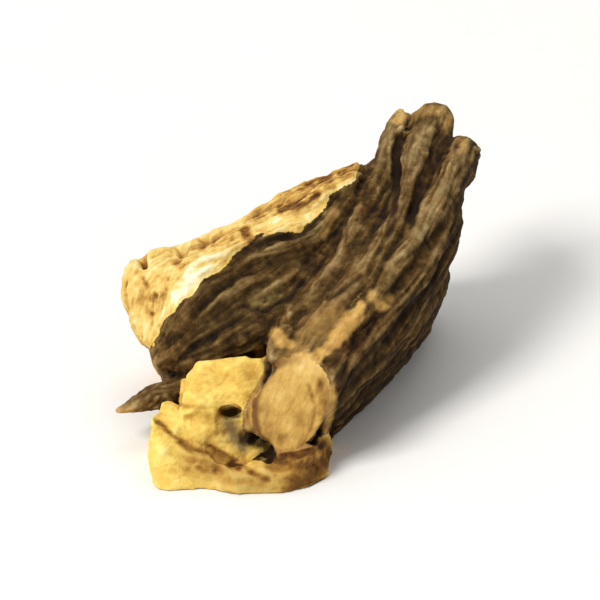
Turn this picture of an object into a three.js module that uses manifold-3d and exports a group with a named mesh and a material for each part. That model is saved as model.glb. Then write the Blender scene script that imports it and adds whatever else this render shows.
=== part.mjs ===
// A chip of dried gentian root: a forked piece with deeply wrinkled bark on its front and right,
// split wood behind, one cut and one broken end, and a golden foot. Millimetres, +Z up.
import * as THREE from 'three';
import { mergeVertices } from 'three/addons/utils/BufferGeometryUtils.js';
import { ImprovedNoise } from 'three/addons/math/ImprovedNoise.js';
import Module from 'manifold-3d';

const wasm = await Module();
wasm.setup();
const lumps = new ImprovedNoise();

// Driving dimensions. Places are measured from the front of the foot, with x to the right,
// y towards the back and z up from the surface that the chip lies on.
const RIDGE_HALF_WIDTH = 0.95;
const RIDGE_HALF_HEIGHT = 1.1;
const RIDGE_LUMP = 0.13;
const CORE_LUMP = 0.07;
const LUMP_LENGTH = 3.4;
const LUMP_WIDTH = 1.6;
const RIDGE_WANDER = 0.2;
const END_ROUNDING = 0.06;
const FIBRE_LENGTH = 3.2;
const FIBRE_WIDTH = 0.8;
const CUTTER_DEPTH = 16;
const GROUND = { width: 60, depth: 10 };

// The limb points from its cut end up to the fingers. Its bark faces the front and the top,
// and turns down over its right flank. The lobe's bark turns under its front edge.
const UP = new THREE.Vector3(0, 0, 1);
const LIMB_ALONG = new THREE.Vector3(0.43, 0.85, 0.3).normalize();
const LIMB_OUT = new THREE.Vector3(0.3, -0.45, 0.84).normalize();
const LIMB_FLANK = new THREE.Vector3().crossVectors(LIMB_ALONG, LIMB_OUT).normalize();
const LOBE_OUT = new THREE.Vector3(-0.12, -0.62, 0.77).normalize();
const LOBE_UNDER = new THREE.Vector3(0.05, -0.78, -0.62).normalize();

// The crest of each ridge of the limb, from its finger end down to the cut end. Turn is the
// angle round the limb from the top of the bark to the flank, in degrees.
const LIMB_RIDGES = [
  {
    // inner ridge, beside the fork
    crest: [[8.2, 21.8, 11.0], [7.0, 19.3, 10.4], [5.2, 15.3, 9.3], [3.5, 11.8, 8.1], [2.2, 8.6, 6.9],
      [2.0, 6.7, 5.6]],
    turn: -44, width: [0.7, 1.0, 0.9, 1.0, 1.1, 0.6],
  },
  {
    // thin flake that stands up beside the first finger
    crest: [[10.0, 26.5, 12.6], [8.9, 21.9, 12.1], [7.6, 16.6, 10.8], [5.5, 12.3, 9.2], [3.6, 9.4, 7.9]],
    turn: -24, width: [0.25, 1.0, 1.35, 1.2, 1.0, 0.8],
  },
  {
    // first finger, the longest
    crest: [[12.6, 26.1, 13.2], [11.6, 21.9, 12.7], [10.0, 16.3, 11.4], [7.8, 11.4, 9.7], [4.9, 7.4, 7.9],
      [3.2, 4.8, 6.8]],
    turn: -6, width: [1.6, 1.5, 1.1, 1.15, 1.3, 1.2],
  },
  {
    // second finger, whose ridge ends in the scraped strip
    crest: [[14.4, 23.1, 12.3], [13.4, 19.1, 11.9], [11.2, 13.9, 10.5], [8.6, 9.8, 9.0], [5.8, 6.2, 7.3],
      [4.5, 4.3, 6.4]],
    turn: 10, width: [1.3, 1.3, 1.1, 0.95, 0.9, 0.8],
  },
  {
    crest: [[13.9, 19.8, 10.9], [13.1, 16.4, 10.2], [11.0, 11.6, 8.7], [8.1, 7.5, 6.9], [5.5, 3.9, 5.5]],
    turn: 34, width: [0.7, 0.9, 1.0, 0.9, 0.7],
  },
  {
    crest: [[13.8, 19.2, 9.4], [13.1, 15.4, 8.4], [10.8, 10.7, 6.5], [7.6, 6.3, 4.8], [5.8, 4.0, 4.1]],
    turn: 58, width: [0.8, 1.0, 1.0, 0.9, 0.7],
  },
  {
    crest: [[13.4, 19.4, 7.2], [12.4, 15.4, 6.0], [9.7, 10.9, 4.0], [6.5, 6.7, 2.6], [4.8, 4.4, 2.2]],
    turn: 84, width: [0.9, 1.1, 1.0, 0.9, 0.8],
  },
];

// The crest of each ridge of the left lobe, from the fork to the broken end. Under is the angle
// from the front of the bark to its underside, in degrees.
const LOBE_RIDGES = [
  {
    // edge of the bark along the pale strip
    crest: [[7.4, 19.2, 12.3], [4.7, 17.3, 11.5], [2.5, 15.2, 10.6], [-0.3, 14.1, 9.9], [-2.6, 12.5, 9.0],
      [-4.3, 11.1, 7.7], [-5.8, 9.6, 5.8]],
    under: -10, width: [0.9, 0.9, 0.9, 0.8, 0.8],
  },
  {
    crest: [[7.4, 19.2, 11.7], [4.4, 14.9, 10.4], [1.9, 13.5, 9.6], [-0.4, 12.5, 8.9], [-2.3, 11.2, 8.0],
      [-3.9, 10.0, 6.6], [-5.6, 9.2, 4.4]],
    under: 2, width: [0.8, 0.9, 0.8, 0.9, 0.8],
  },
  {
    crest: [[6.3, 17.4, 10.4], [4.5, 14.4, 9.5], [2.4, 12.8, 8.9], [-1.8, 10.3, 7.3], [-4.2, 8.9, 5.2],
      [-5.6, 8.8, 4.3]],
    under: 12, width: [0.8, 1.0, 0.9, 0.8],
  },
  {
    crest: [[5.3, 15.4, 9.4], [3.6, 12.6, 8.5], [0.3, 10.2, 7.2], [-1.8, 9.2, 6.2], [-4.6, 8.6, 4.0]],
    under: 28, width: [0.8, 1.0, 0.9],
  },
  {
    crest: [[4.4, 13.6, 8.4], [2.8, 10.8, 7.4], [0.4, 9.2, 6.4], [-2.2, 8.6, 5.1], [-4.4, 9.3, 3.6]],
    under: 45, width: [0.8, 1.0, 0.9],
  },
  {
    // lower edge of the bark, above the foot
    crest: [[4.4, 11.9, 7.6], [2.6, 9.5, 6.7], [0.5, 8.4, 5.8], [-1.8, 8.1, 4.9], [-4.1, 8.7, 3.8]],
    under: 55, width: [0.9, 1.2, 1.1, 1.0],
  },
  {
    crest: [[1.5, 9.2, 4.9], [-2.0, 9.6, 3.9], [-5.2, 11.2, 3.3]],
    under: 85, width: [0.9, 1.1, 0.9],
  },
  {
    crest: [[0.5, 12.0, 3.6], [-2.5, 12.2, 3.2], [-5.8, 13.6, 3.4]],
    under: 110, width: [1.0, 1.2, 1.0],
  },
];

// Wood under the bark: the middle line and half widths of each limb, and of the two masses
// below them that the chip rests on.
const LIMB_CORE = {
  spine: [[2.0, 2.2, 3.9], [4.7, 7.2, 5.0], [7.6, 12.6, 6.6], [9.4, 17.5, 8.0], [11.0, 22.6, 9.9]],
  width: [2.1, 2.55, 3.1, 3.1, 1.9],
  height: [3.0, 2.8, 3.0, 3.0, 2.0],
};
const LOBE_CORE = {
  spine: [[8.0, 19.0, 8.4], [3.0, 15.8, 7.2], [-2.0, 13.9, 6.5], [-7.5, 13.9, 6.1]],
  width: [3.4, 3.8, 3.7, 3.4],
  height: [2.8, 2.7, 2.6, 2.4],
};
const KEEL_CORE = {
  spine: [[1.9, 7.0, 1.7], [4.8, 10.4, 2.4], [7.4, 15.4, 3.4], [9.2, 20.0, 4.0], [9.8, 23.6, 4.6]],
  width: [3.0, 2.8, 3.4, 3.6, 2.6],
  height: [2.4, 3.0, 4.2, 4.6, 4.0],
};
const REAR_CORE = {
  spine: [[-5.6, 12.6, 2.8], [-1.5, 13.6, 3.4], [3.0, 17.0, 4.8], [7.5, 21.0, 6.2], [9.8, 23.4, 7.4]],
  width: [3.0, 5.0, 5.4, 4.8, 3.2],
  height: [3.0, 4.4, 5.4, 5.0, 3.8],
};
// The far rim of the pale strip, which stands up behind a brown groove.
const FAR_RIM = {
  spine: [[-1.5, 16.4, 7.9], [1.0, 17.6, 8.9], [3.0, 18.7, 9.6], [5.0, 19.8, 10.2], [7.7, 20.9, 10.9]],
  width: [0.8, 1.2, 1.4, 1.4, 0.9],
  height: [0.8, 1.1, 1.3, 1.3, 0.9],
};
// Ridges of the keel, by the angle round it from its top to its right side.
const KEEL_RIDGE_TURNS = [62, 80, 98, 118];
const KEEL_RIDGE_WIDTH = [0.8, 1.1, 1.2, 1.1, 0.8];
const KEEL_RIDGE_STANDS_OUT = 0.35;

// The golden foot: a low sole along the front, with a lip that ends in a crease, and a step
// behind its left half. Each is a block between four long edges, given from left to right.
const SOLE = {
  bottomFront: [[-5.5, 2.0, -0.6], [-4.9, 1.2, -0.6], [-1.7, 1.4, -0.6], [1.2, 0.6, -0.6], [3.6, 1.2, -0.6],
    [5.2, 2.7, -0.6], [5.6, 5.4, -0.6]],
  topFront: [[-5.4, 3.3, 3.4], [-4.4, 3.0, 3.2], [-2.9, 2.3, 2.3], [-1.2, 1.8, 1.4], [1.0, 1.3, 1.3],
    [3.2, 1.7, 2.0], [4.8, 2.9, 2.4], [5.3, 5.2, 2.6]],
  topBack: [[-4.6, 7.0, 3.4], [0.0, 4.6, 1.0], [4.8, 7.4, 2.6]],
  bottomBack: [[-4.4, 9.0, -0.6], [0.0, 9.0, -0.6], [5.6, 9.0, -0.6]],
  cells: [20, 5, 5], rough: 0.28, seed: 9,
};
const STEP = {
  bottomFront: [[-4.1, 4.3, 0.0], [-2.8, 3.4, 0.0], [-1.2, 3.1, 0.0], [0.4, 3.6, 0.0], [1.8, 5.6, 0.0]],
  topFront: [[-3.8, 4.2, 4.3], [-3.0, 4.2, 4.4], [-1.5, 4.4, 4.4], [0.2, 4.6, 4.4], [1.8, 5.8, 4.6]],
  topBack: [[-2.6, 7.4, 5.6], [-1.0, 7.6, 5.7], [1.8, 7.8, 5.8]],
  bottomBack: [[-4.0, 9.5, 0.0], [-1.0, 9.5, 0.0], [1.8, 9.5, 0.0]],
  cells: [12, 6, 7], rough: 0.14, seed: 12,
};
// The hole beside the step, a dark pit between the foot and the limb.
const HOLE = {
  spine: [[-0.7, 2.6, 3.7], [-0.4, 5.8, 3.6]],
  width: [0.55, 0.35], height: [0.38, 0.25],
};
// A small knob on the bark above the cut end.
const KNOB = {
  spine: [[2.0, 5.4, 6.4], [2.4, 6.5, 7.0], [3.0, 8.2, 7.4]],
  width: [0.6, 0.9, 0.5], height: [0.5, 0.7, 0.4],
};
// A short rootlet that points out to the left.
const SPUR = {
  spine: [[-2.6, 8.6, 3.0], [-5.6, 7.5, 2.6], [-7.7, 6.6, 2.35]],
  width: [1.1, 0.95, 0.18],
  height: [0.9, 0.75, 0.15],
};

// Rough faces where the wood was cut or broke. Each goes through point and looks along normal,
// with its fibres along grain.
const CREAM_TOP = {
  point: [0.4, 13.6, 9.75], normal: [-0.28, -0.03, 0.96], grain: [1, 0.55, 0.25],
  length: 19, width: 11, cells: [22, 12], rough: 0.36, seed: 3.3,
};
const BROKEN_END = {
  point: [-5.2, 11.0, 5.9], normal: [-0.6, -0.5, 0.62], grain: [0.2, 1, 0.9],
  length: 15, width: 12, cells: [16, 14], rough: 0.4, seed: 7.1,
};
const LEFT_SIDE = {
  point: [-5.4, 9.5, 4.2], normal: [-0.89, -0.25, -0.39], grain: [0, 0.5, 1],
  length: 20, width: 12, cells: [8, 8], rough: 0.25, seed: 1.9,
};
const LIMB_END = {
  point: [3.1, 4.0, 4.3], normal: [-0.28, -0.9, 0.33], grain: [0.3, 0, 1],
  length: 9, width: 8.5, cells: [10, 10], rough: 0.08, seed: 4.6,
};
const BACK = {
  point: [-0.6, 18.6, 6.0], normal: [-0.42, 0.88, 0.22], grain: [1, 0.45, 0.3],
  length: 30, width: 26, cells: [20, 13], rough: 0.4, seed: 8.4,
};

function vector([x, y, z]) {
  return new THREE.Vector3(x, y, z);
}

function curveThrough(points) {
  return new THREE.CatmullRomCurve3(points.map(vector), false, 'centripetal');
}

function turned(from, to, degrees) {
  const turn = THREE.MathUtils.degToRad(degrees);
  return from.clone().multiplyScalar(Math.cos(turn)).addScaledVector(to, Math.sin(turn));
}

function valueAlong(values, t) {
  const place = t * (values.length - 1);
  const index = Math.min(values.length - 2, Math.floor(place));
  return THREE.MathUtils.lerp(values[index], values[index + 1], place - index);
}

function solidFrom(geometry) {
  geometry.deleteAttribute('normal');
  geometry.deleteAttribute('uv');
  const merged = mergeVertices(geometry, 1e-4);
  const mesh = new wasm.Mesh({
    numProp: 3,
    vertProperties: new Float32Array(merged.attributes.position.array),
    triVerts: new Uint32Array(merged.index.array),
  });
  return new wasm.Manifold(mesh);
}

function geometryFrom(solid) {
  const mesh = solid.getMesh();
  const geometry = new THREE.BufferGeometry();
  geometry.setAttribute('position', new THREE.BufferAttribute(new Float32Array(mesh.vertProperties), 3));
  geometry.setIndex(new THREE.BufferAttribute(new Uint32Array(mesh.triVerts), 1));
  return geometry;
}

function join(solids) {
  return solids.reduce((whole, solid) => whole.add(solid));
}

// The two ways across a curve at one place: up, as near to out as it can be, and side.
function frameAt(curve, t, out) {
  const tangent = curve.getTangent(t);
  const up = out.clone().addScaledVector(tangent, -out.dot(tangent)).normalize();
  const side = new THREE.Vector3().crossVectors(tangent, up);
  return { up, side };
}

// How far along a rod a ring of a sphere goes: evenly, but closer together near the ends.
function placeAlong(height) {
  const cosine = THREE.MathUtils.clamp(height, -1, 1);
  return (Math.acos(cosine) / Math.PI + (1 - cosine) / 2) / 2;
}

// How full a rod is near its ends, from nothing at the tip to its whole section.
function fullness(t) {
  const s = Math.min(1, t / END_ROUNDING, (1 - t) / END_ROUNDING);
  return Math.sqrt(Math.max(0, s * (2 - s)));
}

// A tapered, bent and slightly lumpy rod of oval section with rounded ends. Sink lowers it by
// that share of its half height, so that its spine becomes its crest. Wander bends it sideways.
function rod({ spine, width, height, out, seed, lump, wander = 0, sink = 0, sides = 10, steps = 20 }) {
  const curve = curveThrough(spine);
  const length = curve.getLength();
  const geometry = new THREE.SphereGeometry(1, sides, steps);
  const position = geometry.attributes.position;
  for (let i = 0; i < position.count; i += 1) {
    const t = placeAlong(position.getY(i));
    const ring = new THREE.Vector2(position.getX(i), position.getZ(i)).normalize();
    const { up, side } = frameAt(curve, t, out);
    const halfHeight = valueAlong(height, t);
    const across = ring.x * valueAlong(width, t) * fullness(t);
    const outward = ring.y * halfHeight * fullness(t);
    const drift = 2 * wander * lumps.noise((t * length) / LUMP_LENGTH, seed, 0);
    const swell = 1 + 2 * lump * lumps.noise(
      (t * length) / LUMP_LENGTH + seed,
      across / LUMP_WIDTH,
      outward / LUMP_WIDTH + 2 * seed,
    );
    const place = curve.getPoint(t)
      .addScaledVector(up, outward * swell - halfHeight * sink)
      .addScaledVector(side, -across * swell - drift);
    position.setXYZ(i, place.x, place.y, place.z);
  }
  return solidFrom(geometry);
}

function core(shape, out, seed) {
  return rod({ ...shape, out, seed, lump: CORE_LUMP, sides: 16, steps: 18 });
}

function ridge(crest, width, out, seed) {
  return rod({
    spine: crest,
    width: width.map((value) => value * RIDGE_HALF_WIDTH),
    height: width.map((value) => Math.sqrt(value) * RIDGE_HALF_HEIGHT),
    out,
    seed,
    lump: RIDGE_LUMP,
    wander: RIDGE_WANDER,
    sink: 1,
  });
}

function limbRidges() {
  return LIMB_RIDGES.map(({ crest, width, turn }, index) => (
    ridge(crest, width, turned(LIMB_OUT, LIMB_FLANK, turn), index + 1)
  ));
}

function lobeRidges() {
  return LOBE_RIDGES.map(({ crest, width, under }, index) => (
    ridge(crest, width, turned(LOBE_OUT, LOBE_UNDER, under), index + 20)
  ));
}

// A ridge that follows the surface of the keel, turned round it from its top.
function keelRidge(degrees, index) {
  const curve = curveThrough(KEEL_CORE.spine);
  const turn = THREE.MathUtils.degToRad(degrees);
  const crest = [0.12, 0.35, 0.6, 0.85].map((t) => {
    const { up, side } = frameAt(curve, t, LIMB_OUT);
    const reachSide = Math.sin(turn) * (valueAlong(KEEL_CORE.width, t) + KEEL_RIDGE_STANDS_OUT);
    const reachUp = Math.cos(turn) * (valueAlong(KEEL_CORE.height, t) + KEEL_RIDGE_STANDS_OUT);
    return curve.getPoint(t).addScaledVector(side, reachSide).addScaledVector(up, reachUp).toArray();
  });
  return ridge(crest, KEEL_RIDGE_WIDTH, turned(LIMB_OUT, LIMB_FLANK, degrees), 70 + index);
}

// A block between four long edges, with rough faces.
function bentBlock({ bottomFront, topFront, topBack, bottomBack, cells, rough, seed }) {
  const edges = [bottomFront, topFront, topBack, bottomBack].map(curveThrough);
  const geometry = new THREE.BoxGeometry(1, 1, 1, ...cells);
  const position = geometry.attributes.position;
  for (let i = 0; i < position.count; i += 1) {
    const t = position.getX(i) + 0.5;
    const back = position.getY(i) + 0.5;
    const high = position.getZ(i) + 0.5;
    const [lowFront, highFront, highBack, lowBack] = edges.map((edge) => edge.getPoint(t));
    const place = lowFront.lerp(lowBack, back).lerp(highFront.lerp(highBack, back), high);
    const cell = place.clone().divideScalar(LUMP_WIDTH);
    const lift = 2 * rough * lumps.noise(cell.x + seed, cell.y, cell.z);
    place.x += lift * (2 * t - 1);
    place.y -= lift * (1 - back);
    place.z += lift * high;
    position.setXYZ(i, place.x, place.y, place.z);
  }
  return solidFrom(geometry);
}

// A block that is taken away, whose cutting face is rough along the fibres.
function cutter({ point, normal, grain, length, width, cells, rough, seed }) {
  const geometry = new THREE.BoxGeometry(length, width, CUTTER_DEPTH, ...cells, 1);
  geometry.translate(0, 0, CUTTER_DEPTH / 2);
  const position = geometry.attributes.position;
  for (let i = 0; i < position.count; i += 1) {
    if (position.getZ(i) < CUTTER_DEPTH / 2) {
      const along = position.getX(i) / FIBRE_LENGTH;
      const across = position.getY(i) / FIBRE_WIDTH;
      position.setZ(i, 2 * rough * lumps.noise(along + seed, across, seed));
    }
  }
  const up = vector(normal).normalize();
  const fibres = vector(grain).addScaledVector(up, -vector(grain).dot(up)).normalize();
  const acrossFibres = new THREE.Vector3().crossVectors(up, fibres);
  geometry.applyMatrix4(new THREE.Matrix4().makeBasis(fibres, acrossFibres, up));
  geometry.translate(...point);
  return solidFrom(geometry);
}

function ground() {
  const geometry = new THREE.BoxGeometry(GROUND.width, GROUND.width, GROUND.depth);
  geometry.translate(0, 0, -GROUND.depth / 2);
  return solidFrom(geometry);
}

function cutBy(solid, faces) {
  return faces.reduce((left, face) => left.subtract(cutter(face)), solid);
}

function lobeAndMasses() {
  const rough = join([
    core(LOBE_CORE, LOBE_OUT, 31),
    core(REAR_CORE, UP, 33),
    core(KEEL_CORE, LIMB_OUT, 35),
    rod({ ...FAR_RIM, out: UP, seed: 37, lump: RIDGE_LUMP, sides: 8, steps: 12 }),
    ...lobeRidges(),
    ...KEEL_RIDGE_TURNS.map(keelRidge),
  ]);
  return cutBy(rough, [CREAM_TOP, BROKEN_END, LEFT_SIDE, BACK]);
}

function limb() {
  const knob = rod({ ...KNOB, out: LIMB_OUT, seed: 47, lump: RIDGE_LUMP, sides: 8, steps: 8 });
  return cutBy(join([core(LIMB_CORE, LIMB_OUT, 41), ...limbRidges(), knob]), [LIMB_END]);
}

function foot() {
  const spur = rod({ ...SPUR, out: UP, seed: 51, lump: RIDGE_LUMP, sides: 8, steps: 9 });
  const hole = rod({ ...HOLE, out: UP, seed: 61, lump: RIDGE_LUMP, sides: 8, steps: 8 });
  return join([bentBlock(SOLE), bentBlock(STEP), spur]).subtract(hole);
}

// The whole chip, with its origin under the middle of its box.
function rootPiece() {
  const whole = join([lobeAndMasses(), limb(), foot()]).subtract(ground());
  const geometry = geometryFrom(whole);
  geometry.computeBoundingBox();
  const middle = geometry.boundingBox.getCenter(new THREE.Vector3());
  geometry.translate(-middle.x, -middle.y, 0);
  geometry.computeVertexNormals();
  const material = new THREE.MeshStandardMaterial({ color: 0x6b5636, roughness: 0.85, metalness: 0 });
  const mesh = new THREE.Mesh(geometry, material);
  mesh.name = 'root_piece';
  return mesh;
}

const group = new THREE.Group();
group.add(rootPiece());

export default group;
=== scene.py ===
# A chip of dried gentian root on a pale floor: wrinkled bark on its front and right, a pale
# split strip and a broken end on the left, an oval cut end and a golden foot at the front.
import itertools
import math

import bpy
import numpy as np
from mathutils import Matrix, Vector


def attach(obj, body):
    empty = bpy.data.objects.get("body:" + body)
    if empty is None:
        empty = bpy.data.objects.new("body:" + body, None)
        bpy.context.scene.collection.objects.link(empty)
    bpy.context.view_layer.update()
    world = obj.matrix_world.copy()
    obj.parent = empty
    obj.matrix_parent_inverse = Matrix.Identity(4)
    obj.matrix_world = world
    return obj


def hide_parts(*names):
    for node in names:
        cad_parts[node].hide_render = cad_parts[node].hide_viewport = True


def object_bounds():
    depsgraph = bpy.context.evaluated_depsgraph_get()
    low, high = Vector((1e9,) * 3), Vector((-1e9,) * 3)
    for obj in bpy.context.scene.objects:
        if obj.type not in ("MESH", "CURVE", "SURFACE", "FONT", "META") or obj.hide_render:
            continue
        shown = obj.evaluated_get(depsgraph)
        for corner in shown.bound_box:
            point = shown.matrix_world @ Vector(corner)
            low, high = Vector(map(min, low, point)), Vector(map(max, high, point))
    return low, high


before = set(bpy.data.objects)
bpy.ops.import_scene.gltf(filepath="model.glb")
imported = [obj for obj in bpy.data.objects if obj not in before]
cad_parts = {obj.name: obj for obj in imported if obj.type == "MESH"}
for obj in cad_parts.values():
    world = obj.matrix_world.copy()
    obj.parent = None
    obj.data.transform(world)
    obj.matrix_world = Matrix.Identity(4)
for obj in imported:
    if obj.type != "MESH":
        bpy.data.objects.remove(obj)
solid_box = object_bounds()

# Places are in millimetres, measured from the front of the foot: x to the right, y towards the
# back, z up from the floor. MIDDLE is the frame's origin in those places.
MM = 0.001
MIDDLE = np.array([3.505, 13.761, 0.0])

# Directions along the limb, out of its top, the lobe's front and its underside, and out of the
# limb's right flank.
LIMB_ALONG = (0.43, 0.85, 0.3)
LIMB_OUT = (0.3, -0.45, 0.84)
LOBE_OUT = (-0.12, -0.62, 0.77)
LOBE_UNDER = (0.05, -0.78, -0.62)
LIMB_FLANK = np.cross(LIMB_ALONG, LIMB_OUT)
UP = (0, 0, 1)

# Half the width and height of a ridge of width 1.
RIDGE_HALF_WIDTH = 0.95
RIDGE_HALF_HEIGHT = 1.1

# Crests of the bark's ridges: places, angle round the limb or lobe in degrees, and widths.
LIMB_RIDGES = [
    ([[8.2, 21.8, 11], [7, 19.3, 10.4], [5.2, 15.3, 9.3], [3.5, 11.8, 8.1], [2.2, 8.6, 6.9],
      [2, 6.7, 5.6]], -44, [0.7, 1, 0.9, 1, 1.1, 0.6]),
    ([[10, 26.5, 12.6], [8.9, 21.9, 12.1], [7.6, 16.6, 10.8], [5.5, 12.3, 9.2], [3.6, 9.4, 7.9]],
     -24, [0.25, 1, 1.35, 1.2, 1, 0.8]),
    ([[12.6, 26.1, 13.2], [11.6, 21.9, 12.7], [10, 16.3, 11.4], [7.8, 11.4, 9.7], [4.9, 7.4, 7.9],
      [3.2, 4.8, 6.8]], -6, [1.6, 1.5, 1.1, 1.15, 1.3, 1.2]),
    ([[14.4, 23.1, 12.3], [13.4, 19.1, 11.9], [11.2, 13.9, 10.5], [8.6, 9.8, 9], [5.8, 6.2, 7.3],
      [4.5, 4.3, 6.4]], 10, [1.3, 1.3, 1.1, 0.95, 0.9, 0.8]),
    ([[13.9, 19.8, 10.9], [13.1, 16.4, 10.2], [11, 11.6, 8.7], [8.1, 7.5, 6.9], [5.5, 3.9, 5.5]],
     34, [0.7, 0.9, 1, 0.9, 0.7]),
    ([[13.8, 19.2, 9.4], [13.1, 15.4, 8.4], [10.8, 10.7, 6.5], [7.6, 6.3, 4.8], [5.8, 4, 4.1]],
     58, [0.8, 1, 1, 0.9, 0.7]),
    ([[13.4, 19.4, 7.2], [12.4, 15.4, 6], [9.7, 10.9, 4], [6.5, 6.7, 2.6], [4.8, 4.4, 2.2]],
     84, [0.9, 1.1, 1, 0.9, 0.8]),
]
LOBE_RIDGES = [
    ([[7.4, 19.2, 12.3], [4.7, 17.3, 11.5], [2.5, 15.2, 10.6], [-0.3, 14.1, 9.9], [-2.6, 12.5, 9],
      [-4.3, 11.1, 7.7], [-5.8, 9.6, 5.8]], -10, [0.9, 0.9, 0.9, 0.8, 0.8]),
    ([[7.4, 19.2, 11.7], [4.4, 14.9, 10.4], [1.9, 13.5, 9.6], [-0.4, 12.5, 8.9], [-2.3, 11.2, 8],
      [-3.9, 10, 6.6], [-5.6, 9.2, 4.4]], 2, [0.8, 0.9, 0.8, 0.9, 0.8]),
    ([[6.3, 17.4, 10.4], [4.5, 14.4, 9.5], [2.4, 12.8, 8.9], [-1.8, 10.3, 7.3], [-4.2, 8.9, 5.2],
      [-5.6, 8.8, 4.3]], 12, [0.8, 1, 0.9, 0.8]),
    ([[5.3, 15.4, 9.4], [3.6, 12.6, 8.5], [0.3, 10.2, 7.2], [-1.8, 9.2, 6.2], [-4.6, 8.6, 4]],
     28, [0.8, 1, 0.9]),
    ([[4.4, 13.6, 8.4], [2.8, 10.8, 7.4], [0.4, 9.2, 6.4], [-2.2, 8.6, 5.1], [-4.4, 9.3, 3.6]],
     45, [0.8, 1, 0.9]),
    ([[4.4, 11.9, 7.6], [2.6, 9.5, 6.7], [0.5, 8.4, 5.8], [-1.8, 8.1, 4.9], [-4.1, 8.7, 3.8]],
     55, [0.9, 1.2, 1.1, 1]),
    ([[1.5, 9.2, 4.9], [-2, 9.6, 3.9], [-5.2, 11.2, 3.3]], 85, [0.9, 1.1, 0.9]),
    ([[0.5, 12, 3.6], [-2.5, 12.2, 3.2], [-5.8, 13.6, 3.4]], 110, [1, 1.2, 1]),
]
# Wood under the bark: middle line, half widths, half heights and the direction that is up in it.
LIMB_CORE = ([[2, 2.2, 3.9], [4.7, 7.2, 5], [7.6, 12.6, 6.6], [9.4, 17.5, 8], [11, 22.6, 9.9]],
             [2.1, 2.55, 3.1, 3.1, 1.9], [3, 2.8, 3, 3, 2], LIMB_OUT)
LOBE_CORE = ([[8, 19, 8.4], [3, 15.8, 7.2], [-2, 13.9, 6.5], [-7.5, 13.9, 6.1]],
             [3.4, 3.8, 3.7, 3.4], [2.8, 2.7, 2.6, 2.4], LOBE_OUT)
KEEL_CORE = ([[1.9, 7, 1.7], [4.8, 10.4, 2.4], [7.4, 15.4, 3.4], [9.2, 20, 4], [9.8, 23.6, 4.6]],
             [3, 2.8, 3.4, 3.6, 2.6], [2.4, 3, 4.2, 4.6, 4], LIMB_OUT)
REAR_CORE = ([[-5.6, 12.6, 2.8], [-1.5, 13.6, 3.4], [3, 17, 4.8], [7.5, 21, 6.2], [9.8, 23.4, 7.4]],
             [3, 5, 5.4, 4.8, 3.2], [3, 4.4, 5.4, 5, 3.8], UP)
FAR_RIM = ([[-1.5, 16.4, 7.9], [1, 17.6, 8.9], [3, 18.7, 9.6], [5, 19.8, 10.2], [7.7, 20.9, 10.9]],
           [0.8, 1.2, 1.4, 1.4, 0.9], [0.8, 1.1, 1.3, 1.3, 0.9], UP)
SPUR = ([[-2.6, 8.6, 3], [-5.6, 7.5, 2.6], [-7.7, 6.6, 2.35]], [1.1, 0.95, 0.18], [0.9, 0.75, 0.15], UP)
KNOB = ([[2, 5.4, 6.4], [2.4, 6.5, 7], [3, 8.2, 7.4]], [0.6, 0.9, 0.5], [0.5, 0.7, 0.4], LIMB_OUT)
# The keel's ridges: degrees round it, their places along it as shares of its length, and widths.
KEEL_RIDGE_TURNS = [62, 80, 98, 118]
KEEL_RIDGE_PLACES = [0.12, 0.35, 0.6, 0.85]
KEEL_RIDGE_WIDTH = [0.8, 1.1, 1.2, 1.1, 0.8]
KEEL_RIDGE_STANDS_OUT = 0.35

# Cut and broken faces: a point, the direction that the face looks in, and that of its fibres.
FACES = {
    "back": ([-0.6, 18.6, 6], [-0.42, 0.88, 0.22], [1, 0.45, 0.3]),
    "left": ([-5.4, 9.5, 4.2], [-0.89, -0.25, -0.39], [0, 0.5, 1]),
    "broken": ([-5.2, 11, 5.9], [-0.6, -0.5, 0.62], [0.2, 1, 0.9]),
    "cream": ([0.4, 13.6, 9.75], [-0.28, -0.03, 0.96], [1, 0.55, 0.25]),
    "oval": ([3.1, 4, 4.3], [-0.28, -0.9, 0.33], [0.3, 0, 1]),
}

# The view from the front: how far above level it looks down from, and what it sees as up.
ELEVATION = math.radians(31)
SEEN_UP = np.array([0, math.sin(ELEVATION), math.cos(ELEVATION)]).round(3)
TO_VIEWER = np.array([0, -math.cos(ELEVATION), math.sin(ELEVATION)]).round(3)
SHADED_SIDE = (0.8, -0.2, -0.45)

# Places on the front: how far right and how far up they are, as seen in that view.
# The edge between the bark and the pale wood, from left to right.
BARK_EDGE = [
    (-5.6, 9), (-5.1, 10.1), (-4.4, 11.2), (-3.5, 12), (-2.6, 12.9), (-1.8, 13.6), (-0.9, 14.2),
    (0, 15), (0.6, 15.7), (0.9, 16.1), (2, 16.2), (3.5, 16.3), (4.1, 16.9), (4.8, 17.5),
    (5.5, 18.4), (6.2, 19), (7, 19.3), (7.4, 21.5),
]
OVAL_MIDDLE = (3.05, 5.75)
OVAL_HALF = (2.2, 2.95)
OVAL_TILT = 14
HOLE = [(-0.95, 5.42), (-0.35, 5.42)]
UNDER_OVAL = [(2.3, 2.7), (3.4, 2.7), (4.6, 3.1), (5.1, 3.6)]

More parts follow.
